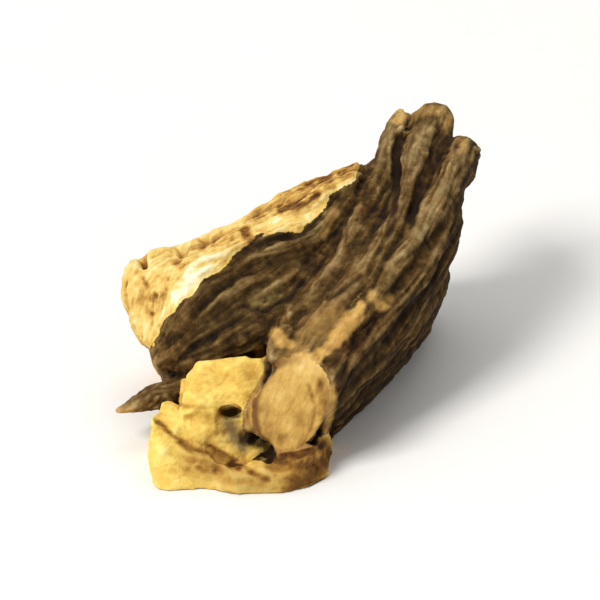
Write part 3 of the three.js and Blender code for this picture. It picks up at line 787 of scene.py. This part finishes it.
def broken_up(skin, kind):
    """Gives the foot and the split wood their facets, and rounds what is rounder."""
    skin.move_to(planed(skin, is_kind(kind, "foot"), *FOOT_FACETS))
    skin.move_to(planed(skin, is_kind(kind, "broken", "cream", "left", "back"), *SPLIT_FACETS))
    skin.move_to(skin.spread(skin.points, 3))
    rounded = marked(skin, ROUND_MARKS, 62)[:, None]
    skin.move_to(skin.points * (1 - rounded) + rounded * skin.spread(skin.points, 24))


def wrinkled(skin, first, second, share, end_on, scraped):
    """The height of the bark: calm in valleys, on ends and where it is scraped or worn."""
    points = skin.points
    hollow = np.clip(relief_of(skin, 16), -0.4, 0.25)
    valley = step(0.12, 0.4, -relief_of(skin, 60))
    wrinkles = (1 - share) * bark_height(points, first) + share * bark_height(points, second)
    smooth = marked(skin, SMOOTH_MARKS, 61)
    calm = (1 - 0.5 * scraped) * (1 - 0.8 * end_on) * (1 - 0.7 * valley) * (1 - 0.5 * smooth)
    lumps = 0.07 * layered(points / 0.8, 3, 15)
    return calm * (wrinkles - WRINKLE_MEAN) + (1.1 - 0.5 * smooth) * hollow + lumps


def shaped(skin, kind, first, second, share, end_on):
    """Moves the surface out and in by the relief of each kind and of the marks."""
    points = skin.points
    groups = "bark spur knob", "cream broken left back", "foot", "oval"
    bark, wood, golden, oval = shares(skin, kind, groups, 2)
    scraped = marked(skin, TAN_MARKS, 51)
    height = bark * wrinkled(skin, first, second, share, end_on, scraped)
    height -= SCRAPED_DEPTH * bark * scraped
    height += wood * split_height(points, first)
    height += golden * foot_height(points)
    height += oval * oval_height(points)
    brown_mark_depth = BROWN_DEPTH + (BROWN_DEPTH_ON_OVAL - BROWN_DEPTH) * oval
    stains_and_painted_light = brown_mark_depth * marked(skin, STAIN_AND_SHADE_MARKS, 56)
    height -= DARK_DEPTH * marked(skin, HOLLOW_SHADE_MARKS, 52) + stains_and_painted_light
    height -= HOLE_DEPTH * marked(skin, [(HOLE, 0.26, 1, 0.4)], 57)
    raised = FULL_HEIGHT * marked(skin, FULL_MARKS, 63)
    height += raised - NOTCH_DEPTH * marked(skin, NOTCH_MARKS, 64)
    seam = near_seam(skin, kind) * wood
    height += seam * (skin.spread(height, 6) - height)
    moved = points + skin.normals * height[:, None]
    bottom = is_kind(kind, "bottom")
    moved[bottom] = points[bottom]
    moved[:, 2] = np.maximum(moved[:, 2], 0)
    skin.move_to(moved)


def unfolded(skin):
    """Smooths the few places where the relief has folded the surface."""
    for _ in range(4):
        bent = 1 - dot(skin.normals, unit(skin.mean(skin.normals)))
        share = step(0.08, 0.25, skin.spread(bent, 1))[:, None]
        points = skin.points * (1 - share) + share * skin.spread(skin.points, 3)
        points[:, 2] = np.maximum(points[:, 2], 0)
        skin.move_to(points)


def fitted(skin, box):
    """Fills the solid's box exactly, without reaching out of it."""
    low, high = (np.array(corner) / MM + MIDDLE for corner in box)
    points = skin.points
    bottom, top = points.min(0), points.max(0)
    skin.move_to(low + (points - bottom) * ((high - low) / (top - bottom)))


# What the material reads at each point

def keep(skin, name, columns):
    """Stores three values for each point under a name."""
    values = np.stack(columns, axis=1).astype(np.float32)
    made = skin.mesh.attributes.new(name, "FLOAT_VECTOR", "POINT")
    made.data.foreach_set("vector", values.ravel())


def painted(skin, kind, place, share, end_on):
    """Stores the kinds, the relief, the places in the grain and the marks, painted shade and highlights
    among them, for the material.
    """
    points, normals = skin.points, skin.spread(skin.normals, 8)
    groups = "foot", "cream broken", "left back", "oval", "bark spur"
    golden, cream, split, oval, bark = shares(skin, kind, groups, 1)
    fine = np.clip(relief_of(skin, 6) / 0.07, -1, 1)
    broad = np.clip(relief_of(skin, 60) / 0.35, -1, 1)
    radius, angle = oval_place(points)
    tables = (TAN_MARKS, HOLLOW_SHADE_MARKS, DUST_MARKS, OLIVE_MARKS, RUDDY_MARKS, SHADOW_BELOW_HOLE_MARKS, STAIN_AND_SHADE_MARKS,
              PALE_AND_HIGHLIGHT_MARKS, PAINTED_SHADE_MARKS, TAWNY_MARKS)
    tan, dark, dust, olive, ruddy, grey, brown, bright, painted_shade, tawny = (
        marked(skin, marks, seed) for seed, marks in enumerate(tables, 51))
    high_up = step(13, 22, points @ SEEN_UP) * step(0.2, 0.7, normals @ TO_VIEWER)
    dust = np.maximum(np.maximum(dust, 0.3 * high_up), 0.4 * end_on * bark)
    # Painted shade on the bark that faces the shaded side.
    painted_shade = np.maximum(painted_shade, step(0.25, 0.75, normals @ unit(SHADED_SIDE)))
    whole = (1 - 2 * share) * (1 - 0.7 * end_on) * (1 - near_seam(skin, kind))
    keep(skin, "kinds", [golden, cream, split])
    keep(skin, "oval", [oval, np.clip(radius, 0, 2), ring_share(angle)])
    # The fine and broad relief make the colours darker in hollows and lighter on crests: painted shade.
    keep(skin, "relief", [fine, broad, whole])
    keep(skin, "flow", place.T)
    keep(skin, "marks", [tan, dark, np.where(golden > 0.5, tawny, dust)])
    keep(skin, "tints_and_shade", [olive, ruddy, painted_shade])
    keep(skin, "stains_and_painted_light", [grey, brown, bright])


# Materials

# Colours from low and dark to high and pale: a place on the scale and a colour's code.
BARK_COLOURS = [(0.1, "110902"), (0.28, "2b1c09"), (0.44, "4a3515"), (0.6, "6e542d"), (0.78, "967c50"),
                (1.0, "c0a878")]
BARED_COLOURS = [(0.2, "7d5829"), (0.4, "b98c4a"), (0.56, "dcb062"), (0.8, "efcf88")]
CREAM_COLOURS = [(0.08, "4e3216"), (0.22, "8a5e2c"), (0.37, "c4974c"), (0.5, "e3bf6c"), (0.64, "f0d68a"),
                 (0.84, "fdf5d2")]
SPLIT_COLOURS = [(0.15, "3f2812"), (0.32, "7a5225"), (0.47, "b08339"), (0.62, "d6ac55"), (0.82, "ecd188")]
GOLDEN_COLOURS = [(0.08, "5a3a16"), (0.22, "8f642a"), (0.37, "ca9c46"), (0.5, "eec661"), (0.62, "fbdd79"),
                  (0.88, "fdeca8")]
OVAL_COLOURS = [(0.15, "6e4a20"), (0.34, "a27a3a"), (0.5, "c39a50"), (0.66, "d9b162"), (0.88, "efcd84")]
FLOOR_COLOURS = [(0.3, "f1f0ee"), (0.7, "f5f4f2")]
DRAB = "5c5330"
REDDISH = "9a6444"
OLIVE = "8c7a46"
SHADOW_GREY_BROWN = "6e5a42"
TAWNY_TINT = "c4b8c0"
OVAL_EDGE = "6f4822"
OVAL_RIM = "e6bd84"
HOLLOW_SHADE_COLOUR = "271808"


def linear(code):
    """The colour of a six-figure code, as the shader takes it."""
    parts = [int(code[i:i + 2], 16) / 255 for i in (0, 2, 4)]
    return [p / 12.92 if p <= 0.04045 else ((p + 0.055) / 1.055) ** 2.4 for p in parts] + [1.0]


class Nodes:
    """Short ways to add and link the nodes of one material."""

    def __init__(self, name):
        self.material = bpy.data.materials.new(name)
        self.material.use_nodes = True
        self.tree = self.material.node_tree
        self.tree.nodes.clear()
        self.place = self.add("TexCoord").outputs["Object"]

    def add(self, kind, inputs=(), **settings):
        node = self.tree.nodes.new("ShaderNode" + kind)
        for key, value in settings.items():
            setattr(node, key, value)
        for key, value in dict(inputs).items():
            if isinstance(value, bpy.types.NodeSocket):
                self.tree.links.new(value, node.inputs[key])
            else:
                node.inputs[key].default_value = value
        return node

    def math(self, operation, *values):
        return self.add("Math", enumerate(values), operation=operation).outputs[0]

    def times(self, a, b):
        return self.math("MULTIPLY", a, b)

    def total(self, *values):
        """The sum of numbers, sockets and pairs of a socket and its factor."""
        sum_of = 0.0
        for value in values:
            if isinstance(value, tuple):
                sum_of = self.math("MULTIPLY_ADD", *value, sum_of)
            else:
                sum_of = self.math("ADD", value, sum_of)
        return sum_of

    def scaled(self, place, factors):
        return self.add("VectorMath", {0: place, 1: factors}, operation="MULTIPLY").outputs[0]

    def noise(self, scale, place=None, detail=3, rough=0.55):
        inputs = {"Vector": place or self.place, "Scale": scale, "Detail": detail, "Roughness": rough}
        return self.add("TexNoise", inputs).outputs["Fac"]

    def ramp(self, value, stops):
        node = self.add("ValToRGB", {"Fac": value})
        line = node.color_ramp
        while len(line.elements) < len(stops):
            line.elements.new(0.5)
        for element, (place, code) in zip(line.elements, stops):
            element.position = place
            element.color = linear(code)
        return node.outputs["Color"]

    def rise(self, value, low, high):
        inputs = {"Value": value, "From Min": low, "From Max": high}
        return self.add("MapRange", inputs, interpolation_type="SMOOTHSTEP").outputs["Result"]

    def mix(self, share, a, b, blend="MIX"):
        inputs = {0: share, 6: a, 7: linear(b) if isinstance(b, str) else b}
        return self.add("Mix", inputs, data_type="RGBA", blend_type=blend).outputs[2]

    def finished(self, colour, rough, shine, **others):
        """The material, with these values on its shader."""
        inputs = {"Base Color": colour, "Roughness": rough, "Specular IOR Level": shine, **others}
        shader = self.add("BsdfPrincipled", inputs)
        self.add("OutputMaterial", {"Surface": shader.outputs[0]})
        return self.material


class RootNodes(Nodes):
    """The nodes of the root's material, with what its surface stores for each point."""

    def __init__(self):
        super().__init__("root_wood")
        self.place = self.scaled(self.place, (1 / MM,) * 3)
        self.flow = self.add("Attribute", attribute_name="flow").outputs["Vector"]
        self.golden, self.cream, self.split = self.read("kinds")
        self.oval, self.radius, self.ring = self.read("oval")
        self.fine, self.broad, self.whole = self.read("relief")
        self.tan, self.dark, self.dust_or_tawny = self.read("marks")
        self.olive, self.ruddy, self.painted_shade = self.read("tints_and_shade")
        self.grey, self.brown, self.bright = self.read("stains_and_painted_light")

    def read(self, name):
        stored = self.add("Attribute", attribute_name=name).outputs["Vector"]
        return self.add("SeparateXYZ", {"Vector": stored}).outputs

    def fibres(self, along, across, **looks):
        """Noise drawn out along the fibres."""
        return self.noise(1, self.scaled(self.flow, (along, across, across)), **looks)

    def streaks(self, along, across):
        """Fibres from about -0.5 to 0.5, which fade where the grain ends."""
        value = self.fibres(along, across, detail=5, rough=0.62)
        return self.times(self.math("SUBTRACT", value, 0.5), self.whole)


def bark_colour(n):
    """Painted shade in furrows and on the shaded side, dusty crests, olive and reddish patches, bared tan
    wood and a painted grey shadow.
    """
    mottle = n.noise(0.8, rough=0.6)
    grit = n.noise(7, detail=4, rough=0.7)
    height = n.total(0.13, (n.fine, 0.2), (n.broad, 0.32), (n.streaks(0.4, 2.6), 0.65), (mottle, 0.4),
                     (grit, 0.3), (n.dust_or_tawny, 0.18), (n.painted_shade, -0.14))
    colour = n.ramp(height, BARK_COLOURS)
    cloud = n.rise(n.noise(0.35), 0.42, 0.62)
    colour = n.mix(n.times(cloud, 0.35), colour, DRAB, "OVERLAY")
    reddish = n.rise(n.noise(0.5, n.scaled(n.place, (1, 1, -1))), 0.45, 0.65)
    colour = n.mix(n.total((reddish, 0.2), (n.ruddy, 0.6)), colour, REDDISH, "SOFT_LIGHT")
    clumps = n.noise(1.3, detail=5, rough=0.6)
    torn = n.fibres(0.5, 3, detail=4)
    bared = n.ramp(n.total((clumps, 0.55), (torn, 0.42), (n.fine, 0.12)), BARED_COLOURS)
    colour = n.mix(n.times(n.tan, 0.95), colour, bared)
    patchy = n.rise(n.noise(2, detail=4), 0.3, 0.7)
    colour = n.mix(n.times(n.olive, patchy), colour, OLIVE)
    return n.mix(n.times(n.grey, 0.8), colour, SHADOW_GREY_BROWN)


def cream_colour(n):
    """Pale cut wood with fibres, brown stains, painted shade and painted highlights that are nearly white.
    """
    clumps = n.noise(0.8, detail=5, rough=0.6)
    value = n.total(0.06, (n.fine, 0.16), (n.streaks(0.4, 2.2), 0.6), (clumps, 0.85), (n.bright, 0.26),
                    (n.brown, -0.38))
    return n.ramp(value, CREAM_COLOURS)


def split_colour(n):
    """Yellow-brown split wood with strong fibres."""
    clumps = n.noise(0.7, detail=5, rough=0.65)
    value = n.total(0.255, (n.fine, 0.17), (n.broad, 0.15), (n.streaks(0.25, 2.4), 0.75), (clumps, 0.5))
    return n.ramp(value, SPLIT_COLOURS)


def golden_colour(n):
    """Golden wood with brown creases, painted shade and highlights, a duller tan front and a painted grey
    shadow in a hollow.
    """
    clumps = n.noise(0.7, detail=5)
    grit = n.noise(6, rough=0.7)
    value = n.total(0.16, (n.fine, 0.12), (n.broad, 0.08), (clumps, 0.5), (grit, 0.14), (n.bright, 0.16),
                    (n.brown, -0.4))
    colour = n.ramp(value, GOLDEN_COLOURS)
    colour = n.mix(n.times(n.dust_or_tawny, 0.85), colour, TAWNY_TINT, "MULTIPLY")
    return n.mix(n.times(n.grey, 0.85), colour, SHADOW_GREY_BROWN)


def oval_colour(n):
    """Tan cut wood with upright fibres, brown stains, painted shade and highlights, a brown left edge and a
    paler right one.
    """
    clumps = n.noise(0.7, detail=5, rough=0.6)
    streaks = n.fibres(0.35, 1.8, detail=4)
    value = n.total(-0.13, (n.fine, 0.12), (clumps, 0.8), (streaks, 0.55), (n.bright, 0.22),
                    (n.brown, -0.34))
    colour = n.ramp(value, OVAL_COLOURS)
    edge = n.times(n.rise(n.radius, 0.84, 0.98), n.ring)
    colour = n.mix(n.times(edge, 0.85), colour, OVAL_EDGE)
    rim = n.times(n.rise(n.radius, 0.84, 0.94), n.math("SUBTRACT", 1, n.ring))
    return n.mix(n.times(rim, 0.15), colour, OVAL_RIM)


def root_material():
    """The colours of the five kinds of surface, laid over each other, with a fine rough grain."""
    n = RootNodes()
    ragged = n.math("MULTIPLY_ADD", n.noise(2.5), 0.5, -0.25)
    colour = bark_colour(n)
    layers = ((n.split, split_colour), (n.cream, cream_colour), (n.golden, golden_colour),
              (n.oval, oval_colour))
    for share, layer in layers:
        cover = n.rise(n.math("ADD", share, ragged), 0.4, 0.6)
        colour = n.mix(cover, colour, layer(n))
    # Painted shade in holes, gaps and furrows.
    colour = n.mix(n.times(n.dark, 0.9), colour, HOLLOW_SHADE_COLOUR)

    grain = n.noise(9, detail=5, rough=0.65)
    rough = n.math("MULTIPLY_ADD", grain, 0.2, 0.75)
    height = n.total(grain, (n.times(n.fibres(0.8, 6), 1.5), n.whole))
    bump = n.add("Bump", {"Height": height, "Strength": 0.7, "Distance": 0.08 * MM})
    return n.finished(colour, rough, 0.15, Normal=bump.outputs[0])


def floor_material():
    n = Nodes("pale_floor")
    return n.finished(n.ramp(n.noise(40), FLOOR_COLOURS), 0.9, 0.2)


# Floor, light and camera

# Metres here: half the floor, how far off the camera is and how wide a view it has at the chip.
FLOOR_HALF = 2
CAMERA_AWAY = 0.42
VIEW_WIDTH = 0.036
# The middle of the view in millimetres, to the right and up.
VIEW_MIDDLE = (3.5, 12.25)
SENSOR_WIDTH = 36


def link(name, data):
    made = bpy.data.objects.new(name, data)
    bpy.context.scene.collection.objects.link(made)
    return made


def floor():
    mesh = bpy.data.meshes.new("floor")
    half = FLOOR_HALF
    corners = [(-half, -half, 0), (half, -half, 0), (half, half, 0), (-half, half, 0)]
    mesh.from_pydata(corners, [], [(0, 1, 2, 3)])
    mesh.materials.append(floor_material())
    link("floor", mesh)


def lamp(name, place, size, power, colour):
    """A square soft light that faces the chip."""
    data = bpy.data.lights.new(name, "AREA")
    data.size = size
    data.energy = power
    data.color = colour
    made = link(name, data)
    made.location = place
    made.rotation_euler = (-Vector(place)).to_track_quat("-Z", "Y").to_euler()


def studio():
    lamp("key", (-0.30, -0.22, 0.42), 0.2, 2.6, (1.0, 0.98, 0.95))
    lamp("top", (0.05, 0.25, 0.5), 0.4, 0.8, (1.0, 1.0, 1.0))
    lamp("fill", (0.45, -0.4, 0.25), 0.4, 0.2, (1.0, 0.99, 0.97))
    world = bpy.data.worlds.new("studio")
    world.use_nodes = True
    sky = world.node_tree.nodes["Background"].inputs
    sky["Color"].default_value = (1.0, 0.99, 0.97, 1.0)
    sky["Strength"].default_value = 0.4
    scene = bpy.context.scene
    scene.world = world
    scene.view_settings.view_transform = "Standard"
    scene.view_settings.look = "None"


def camera():
    """A long lens that looks down at the chip and straight towards the back."""
    back = Vector((0, -math.cos(ELEVATION), math.sin(ELEVATION)))
    up = Vector((0, math.sin(ELEVATION), math.cos(ELEVATION)))
    front_of_foot = Vector((VIEW_MIDDLE[0] * MM - MIDDLE[0] * MM, -MIDDLE[1] * MM, 0))
    data = bpy.data.cameras.new("camera")
    data.sensor_width = SENSOR_WIDTH
    data.lens = SENSOR_WIDTH * CAMERA_AWAY / VIEW_WIDTH
    made = link("camera", data)
    made.location = front_of_foot + up * (VIEW_MIDDLE[1] * MM) + back * CAMERA_AWAY
    made.rotation_mode = "QUATERNION"
    made.rotation_quaternion = (-back).to_track_quat("-Z", "Y")
    bpy.context.scene.camera = made


def chip():
    """The finished piece, made from the solid and shown in its place."""
    skin = Skin(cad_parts["root_piece"])
    kind, first, second, share, end_on = sorted_out(skin)
    smoothed(skin, kind)
    broken_up(skin, kind)
    shaped(skin, kind, first, second, share, end_on)
    unfolded(skin)
    fitted(skin, solid_box)
    painted(skin, kind, first, share, end_on)
    skin.mesh.transform(Matrix.Scale(MM, 4) @ Matrix.Translation(-Vector(MIDDLE)))
    skin.mesh.polygons.foreach_set("use_smooth", [True] * len(skin.mesh.polygons))
    skin.mesh.materials.clear()
    skin.mesh.materials.append(root_material())
    piece = skin.object
    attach(piece, "root")
    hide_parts("root_piece")


floor()
studio()
camera()
chip()
